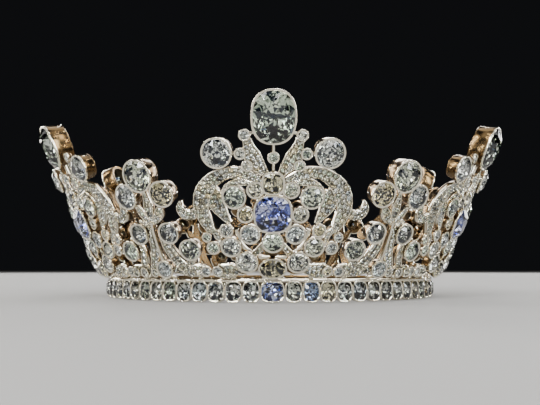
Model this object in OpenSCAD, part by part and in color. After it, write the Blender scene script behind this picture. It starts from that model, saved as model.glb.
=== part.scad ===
// A closed diadem: an upright band of cushion stones that carries a pierced frieze leaning outward.
// Six hearts and six trefoils stand in turn round the frieze, each a soldered setting with its stones.

/* [Band] */
// Outer radius of the band
band_r = 88; // [84:1:96]
// Height of the band
band_h = 10; // [9:0.5:13]
// Thickness of the band from front to back
band_t = 3.4; // [3:0.1:5]
// Height of the plain rail along the top of the band
rail_h = 1.4; // [1.2:0.1:2]
// Number of stones round the band
band_count = 72; // [64:1:76]
// Width of the blue stone at the front of the band, with its setting
front_w = 10.4; // [8:0.2:12]

/* [Frieze] */
// Height from the top of the band to the middle of the crest stones
frieze_h = 62; // [58:1:68]
// Lean of the frieze, outward from the upright
flare = 24; // [18:1:28]
// How far the foot of the frieze stands out in front of the band
frieze_step = 3.3; // [2.4:0.1:4.5]
// Thickness of the soldered plate of a motif
plate_t = 2.2; // [1.8:0.1:3]
// Share of the ring that the hearts take, the trefoils having the rest
heart_share = 0.63; // [0.61:0.01:0.65]
// Gap between neighbouring motifs
motif_gap = 0.3; // [0.2:0.1:0.8]

/* [Heart] */
// Width of the crest setting
crest_w = 17.6; // [14:0.2:19]
// Height of the crest setting
crest_h = 21.4; // [17:0.2:23]
// Width of the blue centre setting
centre_w = 15.6; // [12:0.2:16.6]
// Height of the blue centre setting
centre_h = 16; // [13:0.2:17]
// Width of the square setting above the centre
cap_w = 9.4; // [7:0.2:10]
// Diameter of the two settings beside the cap
shoulder_d = 7.2; // [5.6:0.2:7.8]
// Diameter of the two settings beside the centre
cheek_d = 7; // [5.6:0.2:7.6]
// Diameter of the two settings below the cheeks
chin_d = 8.6; // [6.6:0.1:9]
// Diameter of the setting below the centre
foot_d = 9.2; // [7:0.2:9.8]
// Diameter of the settings in the curls of the scrolls
curl_d = 10; // [8:0.2:10.8]
// Diameter of the two large settings beside the crest
flank_d = 12.6; // [10.6:0.2:13.4]
// Width of the oval at the bottom of the bowl
oval_w = 12; // [9.6:0.2:12.8]
// Height of the oval at the bottom of the bowl
oval_h = 9.4; // [7.8:0.2:10]
// Diameter of the settings next to the oval
bowl_d = 9.6; // [7.6:0.2:10]
// Diameter of the settings on the sides of the bowl
side_d = 8.8; // [7:0.1:9.2]
// Diameter of the settings at the ends of the bowl
end_d = 6; // [4.6:0.1:6.6]
// Breadth of the scrolls at their broadest
scroll_w = 7.6; // [6.6:0.2:8.2]

/* [Trefoil] */
// Diameter of the top setting
top_d = 14.4; // [11.6:0.2:15]
// Diameter of the two side settings
lobe_d = 11.6; // [9.6:0.2:12.2]
// Diameter of the four settings in the scrolls
eye_d = 9.8; // [7.8:0.2:10.2]
// Diameter of the setting at the foot
base_d = 8.4; // [6.4:0.2:8.8]
// Breadth of the scrolls and leaves at their broadest
ribbon_w = 5; // [4.2:0.2:5.6]

/* [Settings] */
// Wall of a collet round its stone
collet_wall = 0.75; // [0.6:0.05:1]
// Clearance between a stone and its setting
seat_gap = 0.12; // [0.1:0.01:0.16]
// Overlap of two soldered collets
solder = 0.3; // [0.2:0.05:0.5]
// Diameter of the knife wires
wire_d = 1.3; // [1:0.1:1.8]
// Diameter of the smallest collets
bead_d = 4.8; // [4:0.1:5.4]
// Diameter of the dowels that join the motifs to the band
dowel_d = 1.2; // [1:0.1:1.5]

/* [Hidden] */
HEARTS = [1:6];
motifs = 6;
motif_turn = 360 / motifs;
$fn = 48;

// Form of an outline: round is a circle or an ellipse, a cushion is squarer
round_k = 2;
crest_k = 2.4;
centre_k = 2.8;
cushion_k = 3.2;

// Shares of a stone's half width: crown, pavilion, ledge under the girdle, open back
crown_share = 0.32;
table_share = 0.56;
pavilion_share = 0.84;
ledge_share = 0.35;
open_share = 0.76;
// Shares of a collet's width: depth, how far its front stands proud, and its narrower back
depth_share = 0.5;
proud_share = 0.15;
taper_share = 0.8;
back_share = 0.87;
// How far the girdle lies below the front of its collet
girdle_drop = 0.3;

// The frieze is part of a cone: r_at and z_at give its front face at a length s up the slope
frieze_r = band_r + frieze_step;
rise = frieze_h / cos(flare);
function r_at(s) = frieze_r + s * sin(flare);
function z_at(s) = band_h + s * cos(flare);
function turn_at(x, s) = x / r_at(s) * 180 / PI;
function pitch_at(s) = r_at(s) * PI / motifs;

// A motif is drawn with x along the ring and s up the slope
// Its tables count x in thirtieths of its half width and s in sixty-eighths of the rise
heart_half = PI * frieze_r / motifs * heart_share;
trefoil_half = PI * frieze_r / motifs * (1 - heart_share);
function hx(x) = x / 30 * heart_half;
function tx(x) = x / 17.7 * trefoil_half;
function up(s) = s / 68 * rise;
// Share of the way to the next trefoil at which the foot of a heart ends
foot_reach = 0.525;

// A drawn point as it falls on the flat plane that touches the cone along the motif's middle
function flat(x, s) = let (r = r_at(s), a = turn_at(x, s))
    [r * sin(a), s - r * (1 - cos(a)) * sin(flare)];

// A smooth line through rows of [x, s, breadth], and the outline of the ribbon along it
function blend(a, b, c, d, t) =
    0.5 * (2 * b + (c - a) * t + (2 * a - 5 * b + 4 * c - d) * t * t + (3 * b - a - 3 * c + d) * t * t * t);
function smooth(rows) = let (n = len(rows) - 1, steps = n > 5 ? 2 : 3) concat(
    [for (i = [0:n - 1], j = [0:steps - 1])
        blend(rows[max(i - 1, 0)], rows[i], rows[i + 1], rows[min(i + 2, n)], j / steps)],
    [rows[n]]
);
function side_point(line, i, side) = let (
    n = len(line) - 1,
    d = line[min(i + 1, n)] - line[max(i - 1, 0)],
    l = norm([d[0], d[1]]),
    b = side * max(line[i][2], 0.4) / 2
) flat(line[i][0] - d[1] / l * b, line[i][1] + d[0] / l * b);

module ribbon(rows) {
    line = smooth(rows);
    n = len(line) - 1;
    polygon(concat([for (i = [0:n]) side_point(line, i, 1)], [for (i = [n:-1:0]) side_point(line, i, -1)]));
}

module wire(a, b, breadth) {
    line = [[a[0], a[1], breadth], [b[0], b[1], breadth]];
    polygon([
        side_point(line, 0, 1), side_point(line, 1, 1), side_point(line, 1, -1), side_point(line, 0, -1)
    ]);
}

// A setting is a row of [x, s, width, height, form]
function edge(c, a) = pow(pow(abs(cos(a)) * 2 / c[2], c[4]) + pow(abs(sin(a)) * 2 / c[3], c[4]), -1 / c[4]);
function beside(c, a, d) = let (l = edge(c, a) + d / 2 - solder)
    [c[0] + l * cos(a), c[1] + l * sin(a), d, d, round_k];
function mirrored(c) = [-c[0], c[1], c[2], c[3], c[4]];
function both(c) = [c, mirrored(c)];
function setting(x, s, d) = [x, s, d, d, round_k];

function outline(w, h, k, n, turn = 0) = [for (i = [0:n - 1])
    let (a = 360 * (i + turn) / n, c = cos(a), s = sin(a), q = pow(pow(abs(c), k) + pow(abs(s), k), -1 / k))
    [w / 2 * q * c, h / 2 * q * s]];

// Places a piece on a cone: +Z is the way out, +Y is up the slope
module place(a, r, z, lean) {
    rotate([0, 0, a]) translate([0, -r, z]) rotate([90 + lean, 0, 0]) children();
}
module on_frieze(c) {
    place(turn_at(c[0], c[1]), r_at(c[1]), z_at(c[1]), flare) children();
}

function proud(c) = proud_share * min(c[2], c[3]) + 0.1;
function depth(c) = depth_share * min(c[2], c[3]);

// A round collet is turned, any other is built up of two steps
module collet(c) {
    back = proud(c) - depth(c);
    if (c[4] == round_k && c[2] == c[3]) {
        translate([0, 0, back]) cylinder(h = depth(c), d1 = c[2] * taper_share, d2 = c[2]);
    } else {
        translate([0, 0, back]) linear_extrude(depth(c))
            polygon(outline(c[2] * back_share, c[3] * back_share, c[4], 16));
        translate([0, 0, -plate_t / 2]) linear_extrude(plate_t / 2 + proud(c))
            polygon(outline(c[2], c[3], c[4], 16));
    }
}

// The seat: the stone's own outline down to the ledge, then a smaller opening right through
module seat(c) {
    w = c[2] - 2 * collet_wall;
    h = c[3] - 2 * collet_wall;
    floor_z = proud(c) - girdle_drop - ledge_share * min(w, h) / 2;
    back = proud(c) - depth(c) - 4;
    if (c[4] == round_k && c[2] == c[3]) {
        translate([0, 0, floor_z]) cylinder(h = 6, d = w + 2 * seat_gap);
        translate([0, 0, back]) cylinder(h = floor_z - back + 1, d = w * open_share);
    } else {
        translate([0, 0, floor_z]) linear_extrude(6)
            polygon(outline(w + 2 * seat_gap, h + 2 * seat_gap, c[4], 16));
        translate([0, 0, back]) linear_extrude(floor_z - back + 1)
            polygon(outline(w * open_share, h * open_share, c[4], 8));
    }
}

// A cut stone has an octagonal table and a pointed pavilion
// The girdle of a main stone has sixteen sides, that of a small one eight
cut_sides = 8;
function stone_points(c, main) = let (
    w = c[2] - 2 * collet_wall,
    h = c[3] - 2 * collet_wall,
    m = min(w, h) / 2,
    girdle = main ? outline(w, h, c[4], 2 * cut_sides) : outline(w, h, c[4], cut_sides, 0.5)
) concat(
    [for (p = outline(w * table_share, h * table_share, c[4], cut_sides)) [p[0], p[1], crown_share * m]],
    [for (p = girdle) [p[0], p[1], 0]],
    [[0, 0, -pavilion_share * m]]
);
function stone_faces(main) = let (n = cut_sides, g = main ? 2 * n : n) concat(
    [[for (i = [n - 1:-1:0]) i]],
    main ? concat(
        [for (i = [0:n - 1]) [i, (i + 1) % n, n + 2 * i + 1]],
        [for (i = [0:n - 1]) [i, n + 2 * i + 1, n + 2 * i]],
        [for (i = [0:n - 1]) [i, n + 2 * i, n + (2 * i + g - 1) % g]]
    ) : concat(
        [for (i = [0:n - 1]) [i, (i + 1) % n, n + i]],
        [for (i = [0:n - 1]) [i, n + i, n + (i + n - 1) % n]]
    ),
    [for (i = [0:g - 1]) [n + i, n + (i + 1) % g, n + g]]
);

// A local point carried to its place on a cone, as place() does it
function put(p, a, r, z, lean) = let (out = r + p[2] * cos(lean) + p[1] * sin(lean))
    [p[0] * cos(a) + out * sin(a), p[0] * sin(a) - out * cos(a), z + p[1] * cos(lean) - p[2] * sin(lean)];
function stone_in_frieze(c, main) = [for (p = stone_points(c, main))
    put(p + [0, 0, proud(c) - girdle_drop], turn_at(c[0], c[1]), r_at(c[1]), z_at(c[1]), flare)];

// Several loose stones as one set of faces
module stones(sets, main) {
    polyhedron(
        points = [for (set = sets, p = set) p],
        faces = [for (i = [0:len(sets) - 1], f = stone_faces(main)) [for (v = f) v + i * len(sets[0])]]
    );
}

// The settings of a heart
crest = [0, rise, crest_w, crest_h, crest_k];
centre = [0, up(29), centre_w, centre_h, centre_k];
cap = [0, centre[1] + (centre_h + cap_w) / 2 - solder, cap_w, cap_w, cushion_k];
shoulder = beside(centre, 54, shoulder_d);
cheek = beside(centre, -3, cheek_d);
chin = beside(centre, -44, chin_d);
foot = beside(centre, -90, foot_d);
curl = setting(hx(15.4), up(36), curl_d);
flank = setting(hx(22), up(54.2), flank_d);
drop = setting(0, (cap[1] + cap_w / 2 + rise - crest_h / 2) / 2, bead_d);

// The bowl is half an ellipse, and its settings follow each other by their own widths
bowl_half = hx(18.8);
bowl_deep = up(17.4);
bowl_s = up(22.4);
bowl_link = 0.2;
function bowl_step(d) = 2 * asin(d / (bowl_half + bowl_deep));
function bowl_at(t) = [bowl_half * cos(t), bowl_s + bowl_deep * sin(t)];
bowl_turn = -90 + bowl_step((oval_w + bowl_d) / 2 - solder);
side_turn = bowl_turn + bowl_step((bowl_d + side_d) / 2 + bowl_link);
end_turn = side_turn + bowl_step((side_d + end_d) / 2 + bowl_link / 2);
oval = [0, bowl_s - bowl_deep, oval_w, oval_h, round_k];
bowl_next = setting(bowl_at(bowl_turn)[0], bowl_at(bowl_turn)[1], bowl_d);
bowl_side = setting(bowl_at(side_turn)[0], bowl_at(side_turn)[1], side_d);
bowl_end = setting(bowl_at(end_turn)[0], bowl_at(end_turn)[1], end_d);

heart_set = concat(
    [cap, foot, oval],
    both(shoulder), both(cheek), both(chin), both(curl), both(bowl_next), both(bowl_side), both(bowl_end)
);
heart_main = concat([crest, centre], both(flank));

// Small collets at the tips of the leaves and tails, whose stones are too fine to be parts of their own
foot_end_s = up(3.6);
foot_end_x = pitch_at(foot_end_s) * foot_reach - motif_gap / 2 - bead_d / 2;
leaf_tip = setting(hx(11.2), up(60.8), bead_d);
leaf_lobe = setting(hx(13), up(53.4), bead_d);
leaf_heel = setting(hx(10.2), up(48.6), bead_d);
tail_eye = setting(hx(24.4), up(14.2), bead_d + 1);
tail_bud = setting(hx(27.2), up(18.8), bead_d - 0.6);
foot_end = setting(foot_end_x, foot_end_s, bead_d);
heart_beads = concat(
    [drop], both(leaf_tip), both(leaf_lobe), both(leaf_heel), both(tail_eye), both(tail_bud), both(foot_end)
);

// Ribbons of a heart, columns: x in thirtieths of the half width, s in 68ths of the rise, breadth in tenths
scroll = [
    [5.2, 40.4, 5], [8, 43, 7], [12, 45.2, 6.6], [17.8, 45.8, 6], [23.6, 43.4, 8.4], [27.5, 39.2, 10],
    [29.2, 34.4, 9.6], [29, 29.6, 8], [27.4, 25.4, 6.6], [25.9, 22.2, 4.6]
];
curl_rim = [[8, 41.2, 5], [13.2, 42, 4.6], [17.2, 41, 3.2], [19.8, 38.4, 2.6], [19.7, 34.8, 1.4]];
leaf_in = [[27, 38.6, 4], [24, 36.6, 9], [22.2, 32.2, 8.4], [20, 28.4, 5.6], [17.6, 24.6, 2]];
tail = [[26.4, 22.6, 4.4], [23.4, 20.6, 3.4], [22, 17.4, 3], [22.8, 13.8, 2.6]];
tail_out = [[26.6, 24, 4], [26.3, 20.6, 3], [27.2, 18.8, 3]];
strut = [[3.4, 16, 2.6], [5.8, 12.8, 3.6], [8.8, 9.2, 5]];
spray = [
    [3.2, 45.2, 4], [6, 48.6, 7.6], [8.2, 52, 9], [9.4, 55.2, 6.4], [10.2, 57.8, 5], [11.2, 60.8, 5.4]
];
heart_foot = [[10, 6.6, 5], [13.4, 4.4, 5], [18, 3.5, 8.4], [22, 3.6, 8]];
hook_in = [[29.4, 32, 5], [33, 28.6, 5.4], [36.6, 28.8, 5.6], [39, 31.6, 4.6]];

function drawn(rows, half, breadth) = [for (p = rows) [p[0] * half, up(p[1]), p[2] / 10 * breadth]];
function heart_rows(rows) = drawn(rows, heart_half / 30, scroll_w);
function trefoil_rows(rows) = drawn(rows, trefoil_half / 17.7, ribbon_w);

// Backs a collet, so that it is soldered to the plate all the way round
module disc(c) {
    translate(flat(c[0], c[1])) polygon(outline(c[2], c[3], c[4], 8));
}

// The cone is worked in narrow flats: everything behind them, down from a depth behind its face
flat_turn = 8;
flat_angles = [for (i = [-2.5:2.5]) i * flat_turn];
reach = 2 * rise;
module behind(depth) {
    intersection_for(a = flat_angles) place(a, r_at(0), z_at(0), flare)
        translate([-reach, -reach, -depth - reach]) cube([2 * reach, 3 * reach, reach]);
}

// Cuts the flat drawing of a motif out of the cone and bends it to the ring
module plate() {
    difference() {
        intersection() {
            place(0, r_at(0), z_at(0), flare) translate([0, 0, -14]) linear_extrude(16) children();
            behind(0);
        }
        behind(plate_t);
    }
}

module heart_half_drawing() {
    for (rows = [scroll, curl_rim, leaf_in, tail, tail_out, strut, spray]) ribbon(heart_rows(rows));
    ribbon(concat(heart_rows(heart_foot), [[foot_end_x, foot_end_s, bead_d * 0.9]]));
    ribbon(concat(heart_rows(hook_in), [[hook_end(), lobe[1] - lobe_d * 0.32, ribbon_w * 0.5]]));
    wire([leaf_tip[0], leaf_tip[1]], [crest_w * 0.4, leaf_tip[1] + 1], wire_d);
    wire([leaf_lobe[0], leaf_lobe[1]], [flank[0] - flank_d * 0.4, flank[1]], wire_d);
    wire([cheek[0], cheek[1]], [curl[0], curl[1]], wire_d * 1.6);
    ribbon([for (i = [0:4]) let (t = -90 + (end_turn + 90) * i / 4, p = bowl_at(t))
        [p[0] * 0.94, bowl_s + (p[1] - bowl_s) * 0.94, end_d * 0.7]]);
    for (c = [curl, flank, chin]) disc(c);
    post_pad(heart_post);
}

module heart_drawing() {
    offset(delta = -0.2) offset(delta = 0.2) {
        heart_half_drawing();
        mirror([1, 0]) heart_half_drawing();
        for (c = [centre, foot]) disc(c);
        wire([0, cap[1]], [0, rise - crest_h * 0.4], wire_d);
        polygon([
            flat(-foot_d * 0.3, foot[1] - foot_d * 0.4), flat(foot_d * 0.3, foot[1] - foot_d * 0.4),
            flat(0.6, oval[1] + oval_h * 0.4), flat(-0.6, oval[1] + oval_h * 0.4)
        ]);
    }
}

// A post: a dowel in the rail, a small round foot and a strut up to the back of the frieze
post_r = band_r - band_t / 2;
post_lift = 1;
dowel_in = 0.9;
heart_post = [hx(17.5), up(3.5)];
heart_posts = [[0, up(4.4)], heart_post, [-heart_post[0], heart_post[1]]];
module post(p) {
    a = turn_at(p[0], p[1]);
    run = r_at(p[1]) - plate_t / 2 - post_r;
    lift = z_at(p[1]) - band_h - post_lift / 2;
    rotate([0, 0, a]) translate([0, -post_r, band_h]) {
        translate([0, 0, -dowel_in]) cylinder(h = dowel_in + post_lift, d = dowel_d);
        translate([0, 0, seat_gap]) cylinder(h = post_lift, d = 2 * dowel_d);
        translate([0, 0, post_lift / 2]) rotate([atan2(run, lift), 0, 0])
            cylinder(h = norm([run, lift]), d = dowel_d);
    }
}
module post_pad(p) {
    translate(flat(p[0], p[1])) circle(d = 2.4 * dowel_d, $fn = 16);
}
module post_hole(p) {
    rotate([0, 0, turn_at(p[0], p[1])]) translate([0, -post_r, band_h - dowel_in - seat_gap])
        cylinder(h = 3, d = dowel_d + 2 * seat_gap);
}

// Small collets have a shallow blind seat
module bead(c) {
    on_frieze(c) translate([0, 0, -plate_t * 0.9]) cylinder(h = plate_t * 0.9 + proud(c), d = c[2]);
}
module bead_seat(c) {
    on_frieze(c) translate([0, 0, proud(c) - 0.5]) cylinder(h = 3, d = c[2] - 2 * collet_wall);
}

module setting_work(set, beads, posts) {
    difference() {
        union() {
            plate() children();
            for (c = set) on_frieze(c) collet(c);
            for (c = beads) bead(c);
            for (p = posts) post(p);
        }
        for (c = set) on_frieze(c) seat(c);
        for (c = beads) bead_seat(c);
    }
}

module heart() {
    color("silver") setting_work(concat(heart_main, heart_set), heart_beads, heart_posts) heart_drawing();
}

// The settings of a trefoil, whose front side is the one with +X on the left half of the ring
top = setting(0, up(47), top_d);
lobe = beside(top, -42, lobe_d);
eye_in = setting(tx(7.9), up(21.3), eye_d);
eye_out = setting(tx(16), up(13.6), eye_d);
base = setting(tx(1), up(4.7), base_d);
trefoil_set = concat([base], both(lobe), both(eye_in), both(eye_out));
// The inner hook of a heart stops short of the lobe beside it
hook_room = 1.6;
trefoil_posts = [[base[0], base[1] - base_d * 0.42], [tx(-16), up(3.6)], [tx(15), up(3.6)]];
function hook_end() = pitch_at(lobe[1]) - lobe[0] - lobe_d / 2 - motif_gap - hook_room;

base_end_x = pitch_at(foot_end_s) * (1 - foot_reach) - motif_gap / 2 - bead_d / 2;
base_end = setting(base_end_x, foot_end_s, bead_d);
trefoil_beads = concat(both(base_end), [
    setting(tx(-17.2), up(3.2), bead_d), setting(tx(-11.6), up(3), bead_d), setting(tx(-5.4), up(2.9), bead_d - 0.6)
]);

// Ribbons of a trefoil, columns as for the heart but in parts of 17.7 of its half width
leaf_mid = [[0, 25.6, 4], [0, 29, 7], [0, 33, 9], [0, 37, 5.6], [0, 41, 2.4]];
leaf_front = [[0.4, 25.6, 4], [2.8, 27.6, 7.4], [5, 30.4, 8], [7.2, 34.4, 2]];
leaf_back = [[-0.4, 25.6, 4], [-3, 28.2, 6], [-5.2, 31.2, 5.4], [-7, 34.6, 1.6]];
stem = [[0, 26, 2.6], [-0.2, 20, 2.4], [0.4, 12, 2.4], [1, 5, 4]];
arch_back = [
    [-7, 26.8, 2], [-3.8, 25.4, 5.6], [-2.2, 22, 8], [-1.9, 17.6, 9.2],
    [-2.5, 12.3, 9.6], [-4.8, 7, 8], [-6.6, 3.4, 6.4]
];
arch_front = [[3.5, 20, 7], [4.3, 16, 8.8], [5.8, 12.6, 10], [8.6, 7.8, 10], [12.5, 3.8, 9.2]];
neck_front = [[15.4, 10.4, 7], [13.8, 6.6, 8], [12.6, 4, 8.6]];
arch_out = [[-15.5, 18.8, 2], [-12.4, 17.8, 5], [-10.4, 14.3, 7], [-10, 9.8, 7.6], [-12, 4.4, 7.6]];
base_front = [[4, 4, 5], [9, 4, 9], [12.5, 3.9, 12], [17, 3.8, 11]];
base_back = [[-1.4, 3, 5], [-4, 3, 5], [-9, 3.4, 8.6], [-13, 3.8, 10], [-18, 3.7, 10.4]];

module trefoil_drawing() {
    offset(delta = -0.2) offset(delta = 0.2) {
        for (rows = [leaf_mid, leaf_front, leaf_back, stem, arch_back, arch_front, neck_front, arch_out])
            ribbon(trefoil_rows(rows));
        ribbon(concat(trefoil_rows(base_front), [[base_end_x, foot_end_s, bead_d * 0.9]]));
        ribbon(concat(trefoil_rows(base_back), [[-base_end_x, foot_end_s, bead_d * 0.9]]));
        for (c = concat(both(lobe), both(eye_in), both(eye_out), [base])) disc(c);
        wire([lobe[0], lobe[1]], [tx(6.8), up(34)], wire_d);
        wire([-lobe[0], lobe[1]], [tx(-6.8), up(34)], wire_d);
        for (p = trefoil_posts) post_pad(p);
    }
}

module trefoil() {
    color("silver") setting_work(concat([top], trefoil_set), trefoil_beads, trefoil_posts)
        trefoil_drawing();
}

// Carries a motif to its place; the right half of the ring mirrors the left
function heart_az(i) = (i - 1) * motif_turn;
function trefoil_az(i) = (i - 0.5) * motif_turn;
module at_trefoil(i) {
    rotate([0, 0, trefoil_az(i)]) {
        if (trefoil_az(i) < 180) mirror([1, 0, 0]) children();
        else children();
    }
}

module field_stones(set) {
    color("lightcyan") stones([for (c = set) stone_in_frieze(c, false)], false);
}
module main_stone(c, tint) {
    color(tint) stones([stone_in_frieze(c, true)], true);
}

// The band: stone 0 is the blue one in front, the others share the rest of the ring evenly
band_gap = 0.5;
stone_low = 1.1;
// Share of a stone's outline that the corners of the window behind it reach
window_share = 0.84;
front_turn = front_w / band_r * 180 / PI;
band_step = (360 - front_turn) / (band_count - 1);
function band_az(i) = i == 0 ? 0 : front_turn / 2 + (i - 0.5) * band_step;
band_stone_h = band_h - rail_h - stone_low;
band_stone_w = band_r * band_step * PI / 180 - band_gap;
// Rows as for a setting, x being unused: the collet's outline round one stone
function band_setting(i) = [
    0, stone_low + band_stone_h / 2 - 0.2,
    i == 0 ? front_w - band_gap : band_stone_w, band_stone_h + 2 * collet_wall, cushion_k
];
function stone_in_band(i) = let (c = band_setting(i))
    [for (p = stone_points(c, false)) put(p - [0, 0, girdle_drop], band_az(i), band_r, c[1], 0)];

module band_seat(i) {
    c = band_setting(i);
    w = c[2] - 2 * collet_wall;
    h = c[3] - 2 * collet_wall;
    step_in = girdle_drop + ledge_share * min(w, h) / 2;
    place(band_az(i), band_r, c[1], 0) {
        translate([0, 0, -step_in]) linear_extrude(step_in + 2)
            polygon(outline(w + 2 * seat_gap, h + 2 * seat_gap, c[4], cut_sides, 0.5));
        translate([0, 0, -band_t - 2]) linear_extrude(band_t + 2)
            polygon(outline(w * window_share, h * window_share, c[4], 4, 0.5));
    }
}

// Where one stone's collet ends and the next begins
function joint_az(i) = front_turn / 2 + i * band_step;

// The scalloped lower edge is cut between neighbouring stones
scallop_w = 2.6;
module scallop(i) {
    place(joint_az(i), band_r, 0, 0) translate([0, 0, -band_t - 2]) rotate([0, 0, 45])
        translate([-scallop_w / 2, -scallop_w / 2, 0]) cube([scallop_w, scallop_w, band_t + 4]);
}

// Each stone has its own flat in front and behind
module band_ring(r) {
    l = r / cos(band_step / 2);
    polygon([for (i = [0:band_count - 1]) let (a = joint_az(i)) [l * sin(a), -l * cos(a)]]);
}

module band() {
    color("silver") difference() {
        linear_extrude(band_h) difference() {
            band_ring(band_r);
            band_ring(band_r - band_t);
        }
        for (i = [0:band_count - 1]) {
            band_seat(i);
            scallop(i);
        }
        for (i = HEARTS) {
            rotate([0, 0, heart_az(i)]) for (p = heart_posts) post_hole(p);
            at_trefoil(i) for (p = trefoil_posts) post_hole(p);
        }
    }
}

band_half = floor(band_count / 2);
module band_stones_right() {
    color("lightcyan") stones([for (i = [1:band_half]) stone_in_band(i)], false);
}
module band_stones_left() {
    color("lightcyan") stones([for (i = [band_half + 1:band_count - 1]) stone_in_band(i)], false);
}
module band_centre_stone() {
    color("slateblue") stones([stone_in_band(0)], false);
}

band();
band_stones_right();
band_stones_left();
band_centre_stone();
for (i = HEARTS) {
    rotate([0, 0, heart_az(i)]) {
        heart();
        field_stones(heart_set);
        main_stone(crest, "azure");
        main_stone(centre, "slateblue");
        main_stone(mirrored(flank), "azure");
        main_stone(flank, "azure");
    }
    at_trefoil(i) {
        trefoil();
        field_stones(trefoil_set);
        main_stone(top, "azure");
    }
}
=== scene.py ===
# A closed diadem of silver topped gold: a band of cushion stones under a pierced frieze
# of six hearts and six trefoils. Everything is drawn in millimetres and in the place that
# the CAD parts give it, and each mesh is brought to metres when it is finished.
from math import asin, atan2, cos, hypot, pi, radians, sin
from random import Random

import bpy
from mathutils import Matrix, Vector


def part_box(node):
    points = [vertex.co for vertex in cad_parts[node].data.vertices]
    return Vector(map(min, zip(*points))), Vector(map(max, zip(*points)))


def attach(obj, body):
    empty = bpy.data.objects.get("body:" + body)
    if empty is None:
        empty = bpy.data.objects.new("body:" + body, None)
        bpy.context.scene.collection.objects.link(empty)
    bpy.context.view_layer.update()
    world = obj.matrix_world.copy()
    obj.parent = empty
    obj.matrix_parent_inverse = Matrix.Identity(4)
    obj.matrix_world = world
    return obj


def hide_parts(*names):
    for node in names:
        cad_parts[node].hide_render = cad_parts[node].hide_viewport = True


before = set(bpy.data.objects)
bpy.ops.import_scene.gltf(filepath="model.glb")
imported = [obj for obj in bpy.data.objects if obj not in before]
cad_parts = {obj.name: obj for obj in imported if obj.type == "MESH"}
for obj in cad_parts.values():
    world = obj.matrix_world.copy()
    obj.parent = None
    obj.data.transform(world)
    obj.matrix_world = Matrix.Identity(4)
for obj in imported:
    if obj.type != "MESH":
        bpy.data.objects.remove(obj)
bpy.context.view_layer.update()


# The band is a row of cut-down collets, one for each cushion stone, soldered side by side
# into a ring. Their silver fronts are rubbed over the girdles, their backs are gold, and a
# plain rail runs along the top. The lower edge is left scalloped by the collets.
MM = 0.001
band_low, band_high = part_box("band")
band_h = (band_high.z - band_low.z) / MM
band_r = 88
band_t = 3.4
rail_h = 1.4
stone_low = 1.1
band_count = 72
front_w = 10.4
band_wall = 0.55
# Power of the superellipse that a cushion stone's outline follows; 2 would be round
cushion_k = 3.2
# How far a stone's girdle and the ledge under it lie below the lip of the collet
girdle_drop = 0.3
ledge_share = 0.35
# The stone to the right of the front one, counted from 0, is bluish too
bluish = 2
chance = Random(11)


class Bench:
    """A piece in the making: its points in millimetres, its faces and their marks."""

    def __init__(self):
        self.points = []
        self.faces = []
        self.marks = {}

    def add(self, points, faces, **marks):
        start = len(self.points)
        self.points += points
        self.faces += [[start + i for i in face] for face in faces]
        for name, values in marks.items():
            self.marks.setdefault(name, []).extend(values)

    def mesh(self, name, domain, sharp_above=None):
        made = bpy.data.meshes.new(name)
        made.from_pydata([[v * MM for v in p] for p in self.points], [], self.faces)
        for mark, values in self.marks.items():
            made.attributes.new(mark, "FLOAT", domain).data.foreach_set("value", values)
        if "pavilion" in self.marks:
            made.polygons.foreach_set("material_index", [int(v) for v in self.marks["pavilion"]])
        if sharp_above:
            made.shade_smooth()
            made.set_sharp_from_angle(angle=radians(sharp_above))
        made.update()
        return made


def outline(w, h, k, n, turn=0.0):
    """A round, oval or cushion outline, by the power k of its superellipse."""
    points = []
    for i in range(n):
        a = 2 * pi * (i + turn) / n
        q = (abs(cos(a)) ** k + abs(sin(a)) ** k) ** (-1 / k)
        points.append((w / 2 * q * cos(a), h / 2 * q * sin(a)))
    return points


def stand(azimuth, radius, height, lean=0.0):
    """Where a setting stands: local z is the way out and local y the way up."""

    def place(p):
        out = radius + p[2] * cos(lean) + p[1] * sin(lean)
        return (
            p[0] * cos(azimuth) + out * sin(azimuth),
            p[0] * sin(azimuth) - out * cos(azimuth),
            height + p[1] * cos(lean) - p[2] * sin(lean),
        )

    return place


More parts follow.
